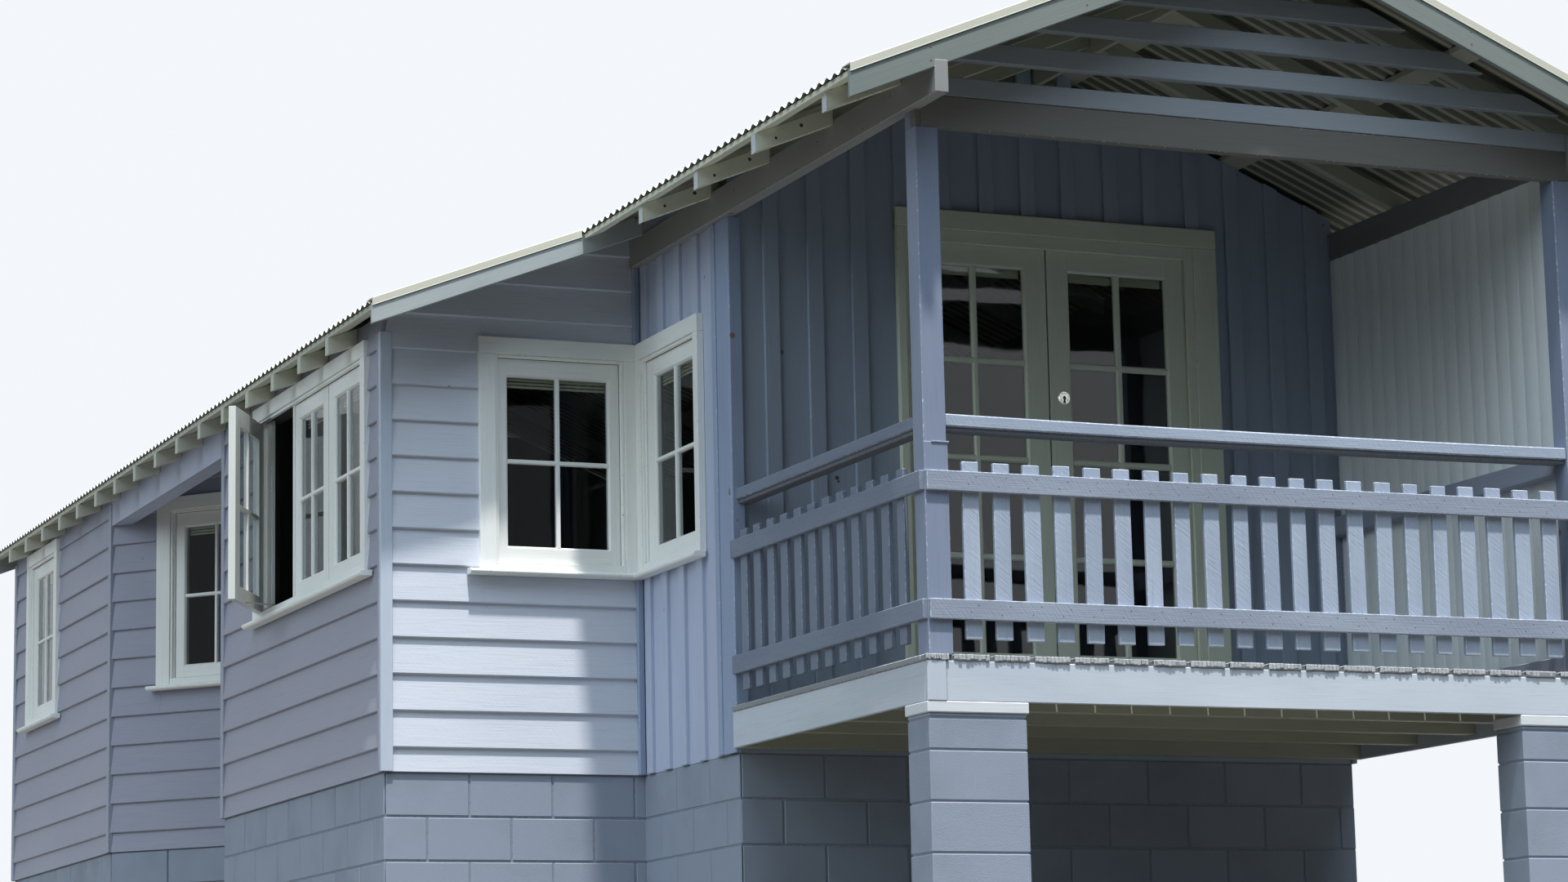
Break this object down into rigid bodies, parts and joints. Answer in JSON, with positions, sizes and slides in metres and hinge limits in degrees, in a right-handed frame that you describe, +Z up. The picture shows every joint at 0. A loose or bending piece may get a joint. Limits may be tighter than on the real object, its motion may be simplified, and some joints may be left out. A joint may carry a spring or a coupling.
{
  "type": "beach house",
  "caption": "Small timber beach house with a gabled veranda, picket rails, hinged glazed doors, and a lean-to with casement windows and a covered nook.",
  "frame": {"origin": "middle of the box around the whole house, on the ground", "axes": "+Z up, -Y towards the veranda's gable end, -X towards the lean-to"},
  "size_m": [5.1024, 11.542, 4.2943],
  "materials": {
    "foundation": "painted concrete block",
    "house_floor": "dark stained floor boards",
    "piers": "painted concrete block",
    "deck_frame": "satin paint",
    "deck": "worn paint",
    "posts": "satin paint",
    "rail_front": "worn paint",
    "rail_left": "satin paint",
    "screen_right": "ribbed sheet, satin",
    "side_beams": "satin paint",
    "beam_front": "satin paint",
    "gable_slats": "satin paint",
    "rafters_wing": "satin paint",
    "rafters_lean": "satin paint",
    "ridge_board": "satin paint",
    "beam_inner": "satin paint",
    "roof_battens": "satin paint",
    "roof_left": "corrugated sheet, satin",
    "roof_right": "corrugated sheet, satin",
    "roof_lean": "corrugated sheet, satin",
    "ridge_cap": "bent sheet, satin",
    "barge_boards": "satin paint",
    "flashings": "bent sheet, satin",
    "wall_door_left": "satin paint",
    "wall_door_right": "satin paint",
    "wall_door_over": "satin paint",
    "wall_wing_left": "satin paint",
    "wall_lean_front": "satin paint",
    "wall_lean_left": "satin paint",
    "wall_nook": "satin paint",
    "nook_lintel": "satin paint",
    "wall_rear_left": "satin paint",
    "wall_rear": "satin paint",
    "wall_right": "satin paint",
    "door_frame": "satin paint",
    "door_left": "satin paint",
    "door_right": "satin paint",
    "glass_left": "clear",
    "glass_right": "clear",
    "window_corner": "satin paint",
    "window_row": "satin paint",
    "sash_open": "satin paint",
    "windows_rear": "satin paint",
    "window_glass": "clear"
  },
  "bodies": {
    "house": {"foundation": "foundation", "house_floor": "house_floor", "piers": "piers", "deck_frame": "deck_frame", "deck": "deck", "posts": "posts", "rail_front": "rail_front", "rail_left": "rail_left", "screen_right": "screen_right", "side_beams": "side_beams", "beam_front": "beam_front", "gable_slats": "gable_slats", "rafters_wing": "rafters_wing", "rafters_lean": "rafters_lean", "ridge_board": "ridge_board", "beam_inner": "beam_inner", "roof_battens": "roof_battens", "roof_left": "roof_left", "roof_right": "roof_right", "roof_lean": "roof_lean", "ridge_cap": "ridge_cap", "barge_boards": "barge_boards", "flashings": "flashings", "wall_door_left": "wall_door_left", "wall_door_right": "wall_door_right", "wall_door_over": "wall_door_over", "wall_wing_left": "wall_wing_left", "wall_lean_front": "wall_lean_front", "wall_lean_left": "wall_lean_left", "wall_nook": "wall_nook", "nook_lintel": "nook_lintel", "wall_rear_left": "wall_rear_left", "wall_rear": "wall_rear", "wall_right": "wall_right", "door_frame": "door_frame", "window_corner": "window_corner", "window_row": "window_row", "sash_open": "sash_open", "windows_rear": "windows_rear", "window_glass": "window_glass"},
    "leaf_left": {"door_left": "door_left", "glass_left": "glass_left"},
    "leaf_right": {"door_right": "door_right", "glass_right": "glass_right"}
  },
  "joints": [
    {"name": "door_left_hinge", "type": "hinge", "parent": "house", "child": "leaf_left", "pos_m": [-0.1048, -3.466, 1.232], "axis": [0, 0, 1], "range_deg": [0, 95]},
    {"name": "door_right_hinge", "type": "hinge", "parent": "house", "child": "leaf_right", "pos_m": [1.3412, -3.466, 1.232], "axis": [0, 0, 1], "range_deg": [-95, 0]}
  ]
}
